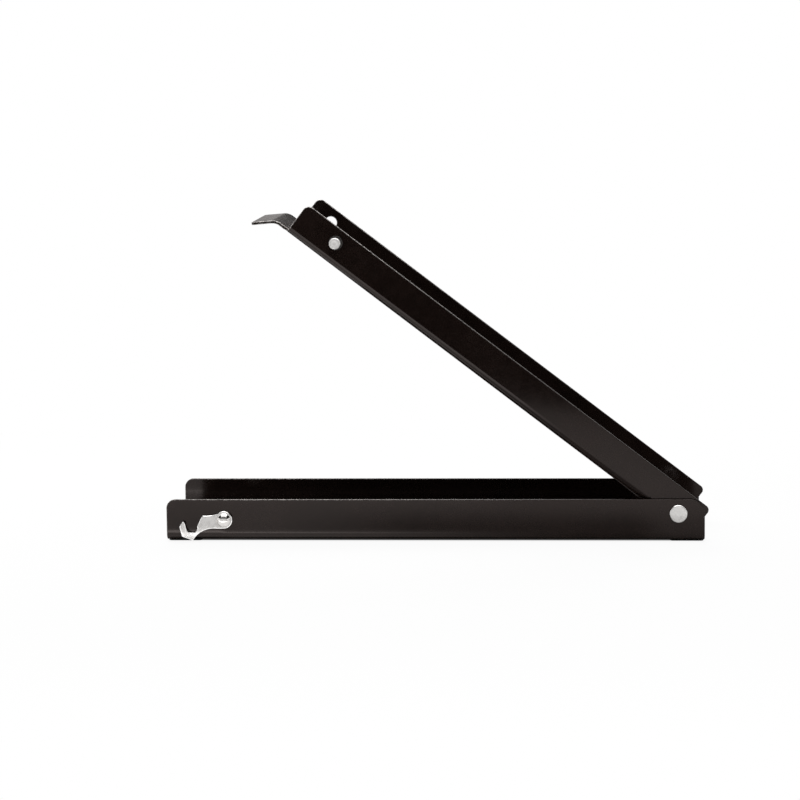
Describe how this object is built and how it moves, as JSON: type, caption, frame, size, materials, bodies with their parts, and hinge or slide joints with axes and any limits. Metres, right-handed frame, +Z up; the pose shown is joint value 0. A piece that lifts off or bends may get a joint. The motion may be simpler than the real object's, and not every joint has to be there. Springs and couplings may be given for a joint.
{
  "type": "can crusher",
  "caption": "Lever can crusher: two black sheet-steel channels hinged at one end, with a bent push lip, a catch stud and a hook latch that holds them shut.",
  "frame": {"origin": "on the table, under the middle of the base", "axes": "+X along the base towards the hinge end, +Y towards the rear side, +Z up"},
  "size_m": [0.3838, 0.1099, 0.2375],
  "materials": {
    "black_paint": "semi-gloss black enamel",
    "bright_nickel": "bright plated",
    "zinc": "dull plated",
    "foot_rubber": "matt black"
  },
  "bodies": {
    "base": {"base_channel": "black_paint", "hinge_rivet_front": "bright_nickel", "hinge_rivet_rear": "bright_nickel", "hinge_spacer_front": "zinc", "hinge_spacer_rear": "zinc", "hinge_washer_front": "zinc", "hinge_washer_rear": "zinc", "latch_rivet": "bright_nickel", "latch_spacer": "zinc", "latch_washer": "zinc", "foot_front_left": "foot_rubber", "foot_front_right": "foot_rubber", "foot_rear_left": "foot_rubber", "foot_rear_right": "foot_rubber"},
    "arm": {"press_arm": "black_paint", "catch_stud": "bright_nickel"},
    "latch": {"latch_hook": "bright_nickel"}
  },
  "joints": [
    {"name": "arm_hinge", "type": "hinge", "parent": "base", "child": "arm", "pos_m": [0.172, 0, 0.0205], "axis": [0, 1, 0], "range_deg": [-36.06, 52.5]},
    {"name": "latch_swing", "type": "hinge", "parent": "base", "child": "latch", "pos_m": [-0.1495, -0.0525, 0.0162], "axis": [0, 1, 0], "range_deg": [-3, 142.62]}
  ]
}
